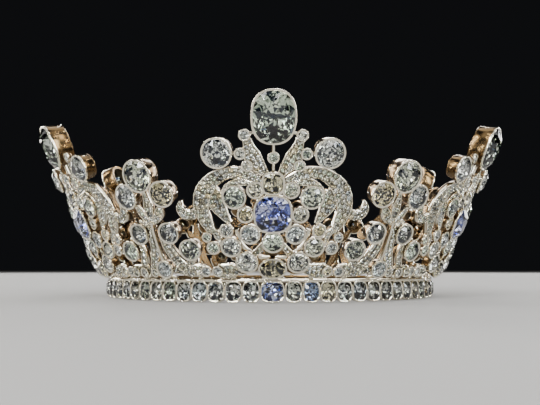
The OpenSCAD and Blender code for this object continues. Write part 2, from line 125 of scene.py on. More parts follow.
def collet(bench, place, shape, proud, deep, wall, taper, sides):
    """A tube with a rubbed-over lip in front, a ledge for the stone and an open back.
    Marks: depth below the lip, and polish from -1 in a recess to 1 on a rubbed edge."""
    w, h, k = shape
    stone_w = w - 2 * wall
    stone_h = h - 2 * wall
    back = proud - deep
    girdle = proud - girdle_drop
    ledge = max(girdle - ledge_share * min(stone_w, stone_h) / 2, back + 0.4)
    # Rings from the back opening round the outside to the ledge: breadth, height, level, polish
    rows = (
        (stone_w * 0.72, stone_h * 0.72, back + 0.25, -0.5),
        (w * taper - 0.5, h * taper - 0.5, back, 0.3),
        (w * taper, h * taper, back + 0.2, 0.4),
        (w * taper - 0.1, h * taper - 0.1, back + 0.5, -0.4),
        (w * (taper + 0.02), h * (taper + 0.02), back + 0.8, 0.0),
        (w, h, proud - 0.55, 0.0),
        (w, h, proud - 0.2, 0.4),
        (w - 0.12, h - 0.12, proud - 0.04, 1.0),
        (w - wall * 0.6, h - wall * 0.6, proud, 1.0),
        (w - wall * 1.5, h - wall * 1.5, proud - 0.06, 0.7),
        (stone_w - 0.12, stone_h - 0.12, girdle + 0.13, 0.0),
        (stone_w + 0.06, stone_h + 0.06, girdle - 0.03, -1.0),
        (stone_w + 0.04, stone_h + 0.04, ledge, -1.0),
        (stone_w * 0.78, stone_h * 0.78, ledge - 0.05, -1.0),
    )
    points = [place((x, y, z)) for rw, rh, z, _ in rows for x, y in outline(rw, rh, k, sides)]
    faces = []
    for row in range(len(rows)):
        below = (row + 1) % len(rows)
        for i in range(sides):
            j = (i + 1) % sides
            faces.append((row * sides + i, row * sides + j, below * sides + j, below * sides + i))
    bench.add(
        points,
        faces,
        depth=[z - proud for _, _, z, _ in rows for _ in range(sides)],
        polish=[p for _, _, _, p in rows for _ in range(sides)],
    )


def cut_faces(points, faces):
    """Turns the faces of a cut stone outward, the stone's middle being inside them all."""
    middle = sum((Vector(p) for p in points), Vector()) / len(points)
    turned = []
    for face in faces:
        a, b, c = (Vector(points[i]) for i in face[:3])
        outward = (b - a).cross(c - a).dot(a - middle) > 0
        turned.append(face if outward else face[::-1])
    return turned


def by_eye(points, spread):
    """Corners of facets that were cut by eye, each a little off its true place."""
    return [tuple(v * (1 + chance.uniform(-spread, spread)) for v in p) for p in points]


def old_cut(bench, place, shape, girdle, tint=None):
    """An old cushion or round brilliant with a small table and an open culet, its pavilion
    cut in two rings of facets. Marks: one value for the stone's tint, a chance value for
    each facet that picks its painted shade or painted highlight, and 1 on the pavilion."""
    w, h, k = shape
    half = min(w, h) / 2
    crown_share, edge = 0.34, 0.03
    crown = crown_share * half
    deep = 0.84 * (w + h) / 4
    parts = 10 if half > 5.5 else 8
    # Breadths of the rings of corners, as shares of the stone's own
    table, star, belt, lower, culet = 0.54, 0.76, 0.68, 0.36, 0.12
    star_z = crown * (1 - 0.35 * (1 - edge / crown_share))

    def ring(share, z, count, turn=0.0):
        return [(x, y, z) for x, y in outline(w * share, h * share, k, count, turn)]

    flat = (
        ring(table, crown, parts)
        + by_eye(ring(star, star_z, parts, 0.5), 0.04)
        + ring(1, edge * half, 2 * parts)
        + ring(1, -edge * half, 2 * parts)
        + by_eye(ring(belt, -0.36 * deep, parts), 0.05)
        + by_eye(ring(lower, -0.68 * deep, parts, 0.5), 0.06)
        + ring(culet, -0.95 * deep, parts)
    )
    below, belt_from, low, tip = 2 * parts, 6 * parts, 7 * parts, 8 * parts
    faces = [tuple(range(parts)), tuple(range(tip, 9 * parts))]
    for j in range(parts):
        n = (j + 1) % parts
        before = (j - 1) % parts
        top, mid, after = 2 * parts + 2 * j, 2 * parts + 2 * j + 1, 2 * parts + 2 * n
        faces += [
            (j, parts + j, n),
            (j, parts + before, top),
            (j, top, parts + j),
            (parts + j, top, mid),
            (parts + j, mid, after),
            (top, mid, mid + below, top + below),
            (mid, after, after + below, mid + below),
            (belt_from + j, top + below, mid + below),
            (belt_from + j, mid + below, belt_from + n),
            (belt_from + n, mid + below, after + below),
            (belt_from + j, belt_from + n, low + j),
            (low + before, belt_from + j, low + j),
            (tip + j, low + before, low + j),
            (tip + j, low + j, tip + n),
        ]
    own_tint = chance.random() * 0.92
    bench.add(
        [place((x, y, z + girdle)) for x, y, z in flat],
        cut_faces(flat, faces),
        stone=[own_tint if tint is None else tint] * len(faces),
        # The table takes the middle tone and the open culet the painted shade; every other facet's chance
        # value picks its painted shade, middle tone or painted highlight
        facet=[0.5, 0.0] + [chance.random() for _ in faces[2:]],
        pavilion=[0, 1] + ([0] * 5 + [1] * 9) * parts,
    )


front_turn = front_w / band_r
band_step = (2 * pi - front_turn) / (band_count - 1)
band_pitch = band_r * band_step
band_stone_h = band_h - rail_h - stone_low + 2 * 0.75
band_middle = stone_low + (band_h - rail_h - stone_low) / 2 - 0.2
band_work = Bench()
band_diamonds = Bench()
band_blue = Bench()
for i in range(band_count):
    azimuth = front_turn / 2 + (i - 0.5) * band_step if i else 0.0
    width = band_pitch + 0.04 if i else front_w
    collet(
        band_work, stand(azimuth, band_r, band_middle), (width, band_stone_h, cushion_k),
        0.1, band_t, band_wall, 0.955, 28,
    )
    cut = band_diamonds if i else band_blue
    tip = chance.uniform(-0.03, 0.03)
    old_cut(
        cut, stand(azimuth + tip * 0.05, band_r, band_middle, tip),
        (width - 2 * band_wall, band_stone_h - 2 * band_wall, cushion_k), 0.1 - girdle_drop,
        {0: 0.5, bluish: 1.0}.get(i),
    )

rail_steps = 216
# Section of the rail: radius, height, polish
rail = (
    (band_r - band_t + 0.25, band_h - rail_h - 0.3, -0.6),
    (band_r - band_t, band_h - rail_h, 0.2),
    (band_r - band_t, band_h - 0.3, 0.2),
    (band_r - band_t + 0.25, band_h, 0.5),
    (band_r - 0.35, band_h, 0.4),
    (band_r - 0.02, band_h - 0.2, 1.0),
    (band_r + 0.08, band_h - 0.5, 0.6),
    (band_r + 0.08, band_h - rail_h + 0.5, 0.2),
    (band_r - 0.1, band_h - rail_h + 0.15, 0.0),
    (band_r - 0.5, band_h - rail_h - 0.1, -1.0),
)
band_work.add(
    [
        (r * sin(2 * pi * i / rail_steps), -r * cos(2 * pi * i / rail_steps), z)
        for i in range(rail_steps)
        for r, z, _ in rail
    ],
    [
        (
            i * len(rail) + j,
            i * len(rail) + (j + 1) % len(rail),
            (i + 1) % rail_steps * len(rail) + (j + 1) % len(rail),
            (i + 1) % rail_steps * len(rail) + j,
        )
        for i in range(rail_steps)
        for j in range(len(rail))
    ],
    depth=[r - band_r for _ in range(rail_steps) for r, _, _ in rail],
    polish=[p for _ in range(rail_steps) for _, _, p in rail],
)


class Shader:
    """A node tree being wired: node() adds a node and feeds its inputs."""

    def __init__(self, tree):
        self.tree = tree

    def node(self, kind, out=0, inputs=None, **settings):
        made = self.tree.nodes.new(kind)
        for name, value in settings.items():
            setattr(made, name, value)
        for name, value in (inputs or {}).items():
            if isinstance(value, bpy.types.NodeSocket):
                self.tree.links.new(value, made.inputs[name])
            else:
                made.inputs[name].default_value = value
        return made.outputs[out]

    def mark(self, name):
        return self.node("ShaderNodeAttribute", "Fac", attribute_name=name)

    def math(self, operation, a, b=0.0, clamp=False):
        return self.node("ShaderNodeMath", inputs={0: a, 1: b}, operation=operation, use_clamp=clamp)

    def mix(self, factor, a, b, blend="MIX"):
        return self.node("ShaderNodeMix", 2, {0: factor, 6: a, 7: b}, data_type="RGBA", blend_type=blend)

    def ramp(self, value, stops):
        made = self.node("ShaderNodeValToRGB", inputs={"Fac": value})
        elements = made.node.color_ramp.elements
        while len(elements) < len(stops):
            elements.new(0.5)
        for element, (position, colour) in zip(elements, stops):
            element.position = position
            element.color = (*colour, 1)
        return made


def new_group(name, inputs, outputs):
    group = bpy.data.node_groups.new(name, "ShaderNodeTree")
    for title, kind, value in inputs:
        socket = group.interface.new_socket(title, in_out="INPUT", socket_type=kind)
        socket.default_value = value
    for title, kind in outputs:
        group.interface.new_socket(title, in_out="OUTPUT", socket_type=kind)
    return group


# Silver in front, gold behind, with the joint of the two metals a little uneven. The gold is far darker than
# real gold: painted shade for the backs and the inside of the ring
metal_group = new_group(
    "silver_topped_gold",
    [
        ("Silver", "NodeSocketColor", (0.86, 0.83, 0.77, 1)),
        ("Gold in painted shade", "NodeSocketColor", (0.75, 0.5, 0.3, 1)),
        ("Tarnish", "NodeSocketColor", (0.13, 0.1, 0.07, 1)),
        ("Joint depth", "NodeSocketFloat", -1.0),
        ("Wear", "NodeSocketFloat", 0.5),
    ],
    [("Color", "NodeSocketColor"), ("Roughness", "NodeSocketFloat"), ("Height", "NodeSocketFloat")],
)
wiring = Shader(metal_group)
given = metal_group.nodes.new("NodeGroupInput").outputs
place_in = wiring.node("ShaderNodeTexCoord", "Object")
patches = wiring.node("ShaderNodeTexNoise", "Fac", {"Vector": place_in, "Scale": 260.0, "Detail": 3.0})
scratches = wiring.node("ShaderNodeTexNoise", "Fac", {"Vector": place_in, "Scale": 2600.0, "Detail": 4.0})
uneven = wiring.math("MULTIPLY", wiring.math("SUBTRACT", patches, 0.5), 0.9)
above_joint = wiring.math("ADD", wiring.mark("depth"), uneven)
above_joint = wiring.math("SUBTRACT", above_joint, given["Joint depth"])
silver_share = wiring.math("ADD", wiring.math("MULTIPLY", above_joint, 2.5), 0.5, clamp=True)
metal_tint = wiring.mix(silver_share, given["Gold in painted shade"], given["Silver"])
recess = wiring.math("MULTIPLY", wiring.mark("polish"), -1.0, clamp=True)
rubbed = wiring.math("MULTIPLY", wiring.mark("polish"), 1.0, clamp=True)
blotches = wiring.math("MULTIPLY", wiring.math("SUBTRACT", patches, 0.52, clamp=True), 4.0, clamp=True)
dirt = wiring.math("ADD", wiring.math("MULTIPLY", recess, 1.3), wiring.math("MULTIPLY", blotches, 0.35))
dirt = wiring.math("MULTIPLY", dirt, wiring.math("SUBTRACT", 1.0, rubbed), clamp=True)
metal_out = metal_group.nodes.new("NodeGroupOutput").inputs
metal_group.links.new(wiring.mix(dirt, metal_tint, given["Tarnish"]), metal_out["Color"])
rough = wiring.math("ADD", wiring.math("MULTIPLY", dirt, 0.3), wiring.math("MULTIPLY", scratches, 0.12))
rough = wiring.math("ADD", rough, wiring.math("MULTIPLY", rubbed, -0.06))
metal_group.links.new(wiring.math("ADD", rough, 0.1), metal_out["Roughness"])
metal_group.links.new(
    wiring.math("ADD", wiring.math("MULTIPLY", scratches, given["Wear"]), patches), metal_out["Height"]
)


def metal(name, silver, gold, joint_depth):
    made = bpy.data.materials.new(name)
    made.use_nodes = True
    tree = made.node_tree
    shader = tree.nodes["Principled BSDF"]
    shader.inputs["Metallic"].default_value = 1.0
    shader.inputs["IOR"].default_value = 1.5
    coat = tree.nodes.new("ShaderNodeGroup")
    coat.node_tree = metal_group
    coat.inputs["Silver"].default_value = silver
    coat.inputs["Gold in painted shade"].default_value = gold
    coat.inputs["Joint depth"].default_value = joint_depth
    bump = tree.nodes.new("ShaderNodeBump")
    bump.inputs["Strength"].default_value = 0.5
    bump.inputs["Distance"].default_value = 0.08 * MM
    tree.links.new(coat.outputs["Height"], bump.inputs["Height"])
    tree.links.new(bump.outputs["Normal"], shader.inputs["Normal"])
    tree.links.new(coat.outputs["Color"], shader.inputs["Base Color"])
    tree.links.new(coat.outputs["Roughness"], shader.inputs["Roughness"])
    return made


# A cut stone is clear in front, and its pavilion is a mirror: every facet there is painted in its own tone,
# dark, middling or bright, over the stone's own tint, as painted shade and painted highlights for the light
# and dark that a real stone throws back
stone_group = new_group(
    "painted_facet_light",
    [
        ("Painted shade", "NodeSocketColor", (0.02, 0.03, 0.06, 1)),
        ("Middle", "NodeSocketColor", (0.6, 0.7, 0.85, 1)),
        ("Bright", "NodeSocketColor", (1, 1, 1, 1)),
        ("Painted shade share", "NodeSocketFloat", 0.25),
        ("Painted highlight share", "NodeSocketFloat", 0.45),
    ],
    [("Color", "NodeSocketColor")],
)
wiring = Shader(stone_group)
given = stone_group.nodes.new("NodeGroupInput").outputs
own_tint = wiring.ramp(wiring.mark("stone"), (
    (0.0, (1.0, 0.93, 0.76)), (0.16, (1.0, 0.98, 0.92)), (0.3, (0.92, 1.0, 0.94)), (0.45, (1.0, 1.0, 1.0)),
    (0.75, (0.95, 0.97, 1.0)), (0.92, (0.87, 0.92, 1.0)), (1.0, (0.62, 0.71, 0.93)),
))
# A facet whose chance value lies below the dark share is painted dark, as painted shade, and one in the top
# bright share is painted bright, as a painted highlight; the rest take the middle tone
painted_shade_facet = wiring.math("SUBTRACT", given["Painted shade share"], wiring.mark("facet"))
painted_shade_facet = wiring.math("MULTIPLY", painted_shade_facet, 30.0, clamp=True)
painted_highlight_from = wiring.math("SUBTRACT", 1.0, given["Painted highlight share"])
painted_highlight_facet = wiring.math("SUBTRACT", wiring.mark("facet"), painted_highlight_from)
painted_highlight_facet = wiring.math("MULTIPLY", painted_highlight_facet, 12.0, clamp=True)
tone = wiring.mix(painted_shade_facet, wiring.mix(painted_highlight_facet, given["Middle"], given["Bright"]), given["Painted shade"])
stone_out = stone_group.nodes.new("NodeGroupOutput").inputs
stone_group.links.new(wiring.mix(1.0, tone, own_tint, "MULTIPLY"), stone_out["Color"])


def cut_stone(name, clear, painted_shade, middle, painted_highlight, painted_shade_share, painted_highlight_share):
    """The two materials of a cut stone: its clear crown and its mirror pavilion, whose facets carry painted
    shade and painted highlights.
    """
    crown = bpy.data.materials.new(f"{name}_crown")
    crown.use_nodes = True
    glass = crown.node_tree.nodes["Principled BSDF"]
    glass.inputs["Base Color"].default_value = clear
    glass.inputs["Roughness"].default_value = 0.0
    glass.inputs["IOR"].default_value = 1.9
    glass.inputs["Transmission Weight"].default_value = 1.0
    glass.inputs["Specular Tint"].default_value = (0.6, 0.6, 0.6, 1)
    pavilion = bpy.data.materials.new(f"{name}_pavilion")
    pavilion.use_nodes = True
    tree = pavilion.node_tree
    mirror = tree.nodes["Principled BSDF"]
    mirror.inputs["Metallic"].default_value = 1.0
    mirror.inputs["Roughness"].default_value = 0.05
    tones = tree.nodes.new("ShaderNodeGroup")
    tones.node_tree = stone_group
    for title, value in (
        ("Painted shade", painted_shade), ("Middle", middle), ("Bright", painted_highlight),
        ("Painted shade share", painted_shade_share), ("Painted highlight share", painted_highlight_share),
    ):
        tones.inputs[title].default_value = value
    tree.links.new(tones.outputs["Color"], mirror.inputs["Base Color"])
    return crown, pavilion


# The gold here is a deep brown: painted shade on the backs of the collets and the inside of the band
band_metal = metal(
    "band_silver_gilt", silver=(0.93, 0.875, 0.71, 1), gold=(0.165, 0.108, 0.05, 1), joint_depth=-1.3
)
# The dark and bright facet colours of each stone below are painted shade and painted highlights on its
# pavilion
diamond = cut_stone(
    "diamond", clear=(1, 1, 1, 1), painted_shade=(0.02, 0.028, 0.045, 1), middle=(0.73, 0.76, 0.7, 1),
    painted_highlight=(1, 1, 0.93, 1), painted_shade_share=0.22, painted_highlight_share=0.6,
)
light_blue = cut_stone(
    "light_blue_stone", clear=(1, 1, 1, 1), painted_shade=(0.02, 0.03, 0.12, 1), middle=(0.36, 0.44, 0.74, 1),
    painted_highlight=(0.9, 0.93, 1, 1), painted_shade_share=0.2, painted_highlight_share=0.55,
)


def hang_on_ring(name, mesh, materials, nodes, azimuth=0.0):
    """Puts a finished mesh in its place round the ring, standing for its CAD nodes."""
    own = mesh.copy()
    own.name = name
    own.transform(Matrix.Rotation(azimuth, 4, "Z"))
    for material in materials:
        own.materials.append(material)
    piece = bpy.data.objects.new(name, own)
    bpy.context.scene.collection.objects.link(piece)
    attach(piece, "root")
    if nodes:
        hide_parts(*nodes)
    return piece


hang_on_ring(
    "band_collets", band_work.mesh("band_collets", "POINT", 40), [band_metal], ["band"]
)
hang_on_ring(
    "band_diamonds", band_diamonds.mesh("band_diamonds", "FACE"), diamond,
    ["band_stones_right", "band_stones_left"],
)
hang_on_ring(
    "band_blue", band_blue.mesh("band_blue", "FACE"), light_blue, ["band_centre_stone"]
)


# A heart is one soldered openwork of silver topped gold: scrolls, leaves and tails that are
# troughs of small diamonds between raised edges, and collets in the curls, the bowl and the
# cluster. It leans out on a cone, where it is drawn with x along the ring and s up the slope.
motifs = 6
frieze_h = 62
lean = radians(24)
frieze_r = band_r + 3.3
rise = frieze_h / cos(lean)
heart_half = pi * frieze_r / motifs * 0.63
trefoil_half = pi * frieze_r / motifs * 0.37
collet_wall = 0.75
solder = 0.3
motif_gap = 0.3
scroll_w = 7.6
ribbon_w = 5
bead_d = 4.8
plate_t = 2.2
# Powers of the superellipses that the stones' outlines follow
round_k = 2
crest_k = 2.4
centre_k = 2.8
# Parts in which the motifs are drawn: half a heart, half a trefoil and the rise of the frieze
heart_parts, trefoil_parts, rise_parts = 30, 17.7, 68


def hx(x):
    return x / heart_parts * heart_half


def tx(x):
    return x / trefoil_parts * trefoil_half


def up(s):
    return s / rise_parts * rise


def radius_at(s):
    return frieze_r + s * sin(lean)


def pitch_at(s):
    return radius_at(s) * pi / motifs


def on_frieze(x, s):
    """The stand of a setting whose middle is at x, s on the face of the frieze."""
    return stand(x / radius_at(s), radius_at(s), band_h + s * cos(lean), lean)


def on_face(x, s, out):
    """A point of a ribbon: it follows the cone, out being the height above its face."""
    return on_frieze(x, s)((0, 0, out))


def setting(x, s, w, h=None, k=round_k):
    return (x, s, w, h or w, k)


def beside(c, degrees_round, d):
    a = radians(degrees_round)
    x, s, w, h, k = c
    reach = (abs(cos(a) * 2 / w) ** k + abs(sin(a) * 2 / h) ** k) ** (-1 / k) + d / 2 - solder
    return setting(x + reach * cos(a), s + reach * sin(a), d)


def on_side(c, side):
    """The same setting on the right, side 1, or on the left, side -1."""
    return (side * c[0],) + tuple(c[1:])


def both(*settings):
    return [on_side(c, side) for c in settings for side in (1, -1)]


def smooth(rows, steps):
    """A smooth line through rows of x, s and breadth."""
    line = []
    last = len(rows) - 1
    for i in range(last):
        a, b, c, d = rows[max(i - 1, 0)], rows[i], rows[i + 1], rows[min(i + 2, last)]
        for j in range(steps):
            t = j / steps
            line.append([
                0.5 * (
                    2 * q + (r - p) * t + (2 * p - 5 * q + 4 * r - v) * t * t
                    + (3 * q - p - 3 * r + v) * t ** 3
                )
                for p, q, r, v in zip(a, b, c, d)
            ])
    return line + [list(rows[last])]


def heading(line, i):
    """The unit direction of a drawn line at its point i."""
    a, b = line[max(i - 1, 0)], line[min(i + 1, len(line) - 1)]
    length = hypot(b[0] - a[0], b[1] - a[1])
    return (b[0] - a[0]) / length, (b[1] - a[1]) / length


ribbon_step = 0.04
trough_from = 2.0
trough_deep = 0.75


def rim_of(breadth):
    return min(0.5, 0.16 * breadth)


def ribbon(bench, rows, steps=5, lift=0.0, all_gold=False):
    """A solid ribbon: a trough between two raised edges, or a rounded bar where it is narrow."""
    line = smooth(rows, steps)
    points, depth, polish, faces = [], [], [], []
    count = 0
    for i, (x, s, breadth) in enumerate(line):
        breadth = max(breadth, 0.3)
        half, rim = breadth / 2, rim_of(breadth)
        share = min(max((breadth - trough_from) / 0.5, 0.0), 1.0)
        bed = 0.32 - (trough_deep + 0.32) * share
        dx, ds = heading(line, i)
        # Half the section, from the back edge to the bed: how far across and out, and its polish
        section = [
            (half - 0.3 * min(half, 1), -plate_t + 0.05, 0.2),
            (half, -plate_t + 0.4, 0.3),
            (half, -0.1, 0.0),
            (half - 0.05, 0.16, 0.6),
            (half - rim * 0.45, 0.3, 1.0),
            (half - rim * 0.9, 0.2 + 0.1 * (1 - share), 0.7 - 0.2 * share),
            (half - rim, bed, -0.5 * share + 0.5 * (1 - share)),
        ]
        section += [(-across, out, mark) for across, out, mark in reversed(section)]
        count = len(section)
        for across, out, mark in section:
            points.append(on_face(x - ds * across, s + dx * across, out + lift))
            depth.append(-plate_t if all_gold else out)
            polish.append(mark)
    for i in range(len(line) - 1):
        for j in range(count):
            n = (j + 1) % count
            faces.append((i * count + j, i * count + n, (i + 1) * count + n, (i + 1) * count + j))
    faces.append(tuple(range(count)))
    faces.append(tuple(len(points) - 1 - j for j in range(count)))
    bench.add(points, faces, depth=depth, polish=polish)


def rod(bench, start, end, d, sides=8, tone=0.3, below=0.0):
    """A round wire between two points, ending in the pieces that it is soldered to."""
    a, b = Vector(start), Vector(end)
    along = (b - a).normalized()
    across = along.cross(Vector((0.31, 0.2, 0.93))).normalized()
    third = along.cross(across)
    rows = ((a, 1.0), (a.lerp(b, 0.5), 0.92), (b, 1.0))
    points = [
        tuple(p + (across * cos(2 * pi * i / sides) + third * sin(2 * pi * i / sides)) * d / 2 * wide)
        for p, wide in rows
        for i in range(sides)
    ]
    faces = [
        (r * sides + i, r * sides + (i + 1) % sides, (r + 1) * sides + (i + 1) % sides, (r + 1) * sides + i)
        for r in (0, 1)
        for i in range(sides)
    ]
    bench.add(points, faces, depth=[-below] * len(points), polish=[tone] * len(points))


def grain(bench, x, s, r):
    """A grain of silver raised at the corner of a small stone to hold it."""
    place = on_frieze(x, s)
    rows = ((1.1, -trough_deep), (1.0, 0.1), (0.7, 0.1 + 0.6 * r))
    points = [
        place((r * wide * cos(pi * i / 3), r * wide * sin(pi * i / 3), out))
        for wide, out in rows
        for i in range(6)
    ]
    points.append(place((0, 0, 0.1 + r)))
    faces = [
        (row * 6 + i, row * 6 + (i + 1) % 6, row * 6 + 6 + (i + 1) % 6, row * 6 + 6 + i)
        for row in (0, 1)
        for i in range(6)
    ]
    faces += [(12 + i, 12 + (i + 1) % 6, 18) for i in range(6)]
    bench.add(points, faces, depth=[0.0] * 19, polish=[-0.8] * 6 + [0.2] * 6 + [1.0] * 7)


def small_cut(bench, place, d, girdle):
    """A small single cut diamond: a table, eight crown facets and eight pavilion facets."""
    flat = (
        [(x, y, 0.15 * d) for x, y in outline(d * 0.56, d * 0.56, 2, 8)]
        + [(x, y, 0.0) for x, y in outline(d, d, 2, 8)]
        + [(0, 0, -0.4 * d)]
    )
    faces = [tuple(range(8))]
    for j in range(8):
        n = (j + 1) % 8
        faces += [(j, 8 + j, 8 + n, n), (8 + j, 16, 8 + n)]
    bench.add(
        [place((x, y, z + girdle)) for x, y, z in flat],
        cut_faces(flat, faces),
        stone=[chance.random() * 0.92] * len(faces),
        # Each facet's chance value picks its painted shade, middle tone or painted highlight
        facet=[chance.random() for _ in faces],
        pavilion=[0] + [0, 1] * 8,
    )


def back_opening(bench, place, d, lift):
    """The round opening cut behind a small stone, with a raised edge of gold."""
    back = lift - plate_t
    rows = ((0.43, back + 0.1, 0.0), (0.4, back - 0.1, 0.6), (0.31, back - 0.1, 0.6), (0.27, back, -1.0))
    points = [
        place((r * d * cos(pi * i / 4), r * d * sin(pi * i / 4), z)) for r, z, _ in rows for i in range(8)
    ]
    faces = [
        (row * 8 + i, row * 8 + 8 + i, row * 8 + 8 + (i + 1) % 8, row * 8 + (i + 1) % 8)
        for row in range(3)
        for i in range(8)
    ]
    faces.append(tuple(24 + i for i in reversed(range(8))))
    bench.add(
        points,
        faces,
        depth=[z for _, z, _ in rows for _ in range(8)],
        polish=[p for _, _, p in rows for _ in range(8)],
    )


class Bed:
    """The small stones laid so far, found again by the square of the drawing they lie in.
    clear_of are the settings that cover a ribbon."""

    square = 3

    def __init__(self, clear_of):
        self.clear_of = clear_of
        self.squares = {}
        self.laid = []

    def square_at(self, x, s):
        return int(x // self.square), int(s // self.square)

    def near(self, x, s):
        column, row = self.square_at(x, s)
        return [
            q for i in (-1, 0, 1) for j in (-1, 0, 1) for q in self.squares.get((column + i, row + j), ())
        ]

    def covered(self, x, s, d):
        """Whether a stone of diameter d would lie under one of the larger settings."""
        return any(
            hypot((x - cx) * 2 / w, (s - cs) * 2 / h) < 1 + d * 0.85 / w for cx, cs, w, h, _ in self.clear_of
        )

    def lay(self, x, s, d, turn, lift):
        crowded = any(hypot(x - q[0], s - q[1]) < (d + q[2]) * 0.48 for q in self.near(x, s))
        if not crowded and not self.covered(x, s, d):
            spot = (x, s, d, turn, lift)
            self.laid.append(spot)
            self.squares.setdefault(self.square_at(x, s), []).append(spot)


def rows_abreast(inner):
    return 1 if inner < 2.9 else 2 if inner < 5 else 3


def troughs(ribbons):
    """The places along each ribbon where it is a trough, with its direction and inner breadth."""
    found = []
    for n, rows in enumerate(ribbons):
        line = smooth(rows, 24)
        stations = []
        for i, (x, s, breadth) in enumerate(line):
            if breadth > trough_from:
                stations.append((x, s, *heading(line, i), breadth - 2 * rim_of(breadth)))
        found.append((stations, -ribbon_step * n))
    return found


def lay_stones(bed, ribbons):
    """Lays stones in rows down the troughs, and then smaller ones in the gaps that are left."""
    found = troughs(ribbons)
    for stations, lift in found:
        for row in range(3):
            last = None
            for x, s, dx, ds, inner in stations:
                abreast = rows_abreast(inner)
                if row >= abreast:
                    last = None
                    continue
                d = inner / abreast
                across = (row - (abreast - 1) / 2) * d
                spot = (x - ds * across, s + dx * across)
                if last is None or hypot(spot[0] - last[0], spot[1] - last[1]) >= (d + last[2]) / 2:
                    bed.lay(*spot, d * 0.97, atan2(ds, dx), lift)
                    last = (*spot, d)
    for d in (1.5, 1.15, 0.85):
        for stations, lift in found:
            for x, s, dx, ds, inner in stations:
                reach = (inner - d) / 2
                if reach < 0:
                    continue
                for n in range(-5, 6):
                    across = reach * n / 5
                    bed.lay(x - ds * across, s + dx * across, d, atan2(ds, dx), lift)


def pave(metal_bench, stone_bench, ribbons, clear_of, mirror=False):
    """Fills the ribbons with small stones, opens the metal behind them and raises grains
    between them. With mirror the ribbons are those of the right half only."""
    bed = Bed(clear_of)
    lay_stones(bed, ribbons)
    laid = list(bed.laid)
    if mirror:
        laid += [(-x, s, d, pi - turn, lift) for x, s, d, turn, lift in bed.laid]
    grains = {}
    for x, s, d, turn, lift in laid:
        small_cut(stone_bench, on_frieze(x, s), d, 0.08)
        if d > 1.2:
            back_opening(metal_bench, on_frieze(x, s), d, lift)
        if d < 1.3 or (mirror and x < 0):
            continue
        for corner in range(4):
            a = turn + pi / 4 + corner * pi / 2
            gx, gs = x + cos(a) * d * 0.6, s + sin(a) * d * 0.6
            square = (int(gx // 0.5), int(gs // 0.5))
            crowded = any((square[0] + i, square[1] + j) in grains for i in (-1, 0, 1) for j in (-1, 0, 1))
            if not crowded and all(hypot(gx - q[0], gs - q[1]) > q[2] * 0.5 for q in bed.near(gx, gs)):
                grains[square] = (gx, gs)
    for gx, gs in grains.values():
        for side in (1, -1) if mirror else (1,):
            grain(metal_bench, side * gx, gs, 0.22)


def set_stone(metal_bench, stone_bench, c, sides, tint=None):
    """A collet with its stone, turned and tipped by a hair as it was set by hand."""
    x, s, w, h, k = c
    place = on_frieze(x, s)
    proud = 0.15 * min(w, h) + 0.1
    wall = min(collet_wall, 0.13 * min(w, h))
    collet(metal_bench, place, (w, h, k), proud, 0.5 * min(w, h), wall, 0.84, sides)
    tip = chance.uniform(-0.03, 0.03)
    spin = chance.uniform(-0.3, 0.3) if k == round_k and w == h else 0.0

    def tipped(p):
        px = p[0] * cos(spin) - p[1] * sin(spin)
        py = p[0] * sin(spin) + p[1] * cos(spin)
        return place((px, py, p[2] + px * tip))

    old_cut(stone_bench, tipped, (w - 2 * wall, h - 2 * wall, k), proud - girdle_drop, tint)


crest_w, crest_h = 17.6, 21.4
crest = setting(0, rise, crest_w, crest_h, crest_k)
centre = setting(0, up(29), 15.6, 16, centre_k)
cap_w = 9.4
cap = setting(0, centre[1] + (16 + cap_w) / 2 - solder, cap_w, cap_w, cushion_k)
shoulder = beside(centre, 54, 7.2)
cheek = beside(centre, -3, 7)
chin = beside(centre, -44, 8.6)
foot_d = 9.2
foot = beside(centre, -90, foot_d)
curl = setting(hx(15.4), up(36), 10)
flank = setting(hx(22), up(54.2), 12.6)
drop = setting(0, (cap[1] + cap_w / 2 + rise - crest_h / 2) / 2, bead_d)

# The bowl under the cluster is half an ellipse of collets that follow each other
bowl_half, bowl_deep, bowl_s = hx(18.8), up(17.4), up(22.4)
bowl_link = 0.2
oval_w, oval_h, bowl_d, side_d, end_d = 12, 9.4, 9.6, 8.8, 6


def bowl_step(d):
    return 2 * asin(d / (bowl_half + bowl_deep))


def bowl_at(t, share=1.0):
    return bowl_half * cos(t) * share, bowl_s + bowl_deep * sin(t) * share


bowl_turn = -pi / 2 + bowl_step((oval_w + bowl_d) / 2 - solder)
side_turn = bowl_turn + bowl_step((bowl_d + side_d) / 2 + bowl_link)
end_turn = side_turn + bowl_step((side_d + end_d) / 2 + bowl_link / 2)
oval = setting(0, bowl_s - bowl_deep, oval_w, oval_h)
bowl_sides = [
    setting(*bowl_at(turn), d) for turn, d in ((bowl_turn, bowl_d), (side_turn, side_d), (end_turn, end_d))
]

foot_reach = 0.525
foot_end_s = up(3.6)
foot_end = setting(pitch_at(foot_end_s) * foot_reach - motif_gap / 2 - bead_d / 2, foot_end_s, bead_d)
leaf_tip = setting(hx(11.2), up(60.8), bead_d)
leaf_lobe = setting(hx(13), up(53.4), bead_d)
leaf_heel = setting(hx(10.2), up(48.6), bead_d)
tail_eye = setting(hx(24.4), up(14.2), bead_d + 1)
tail_bud = setting(hx(27.2), up(18.8), bead_d - 0.6)

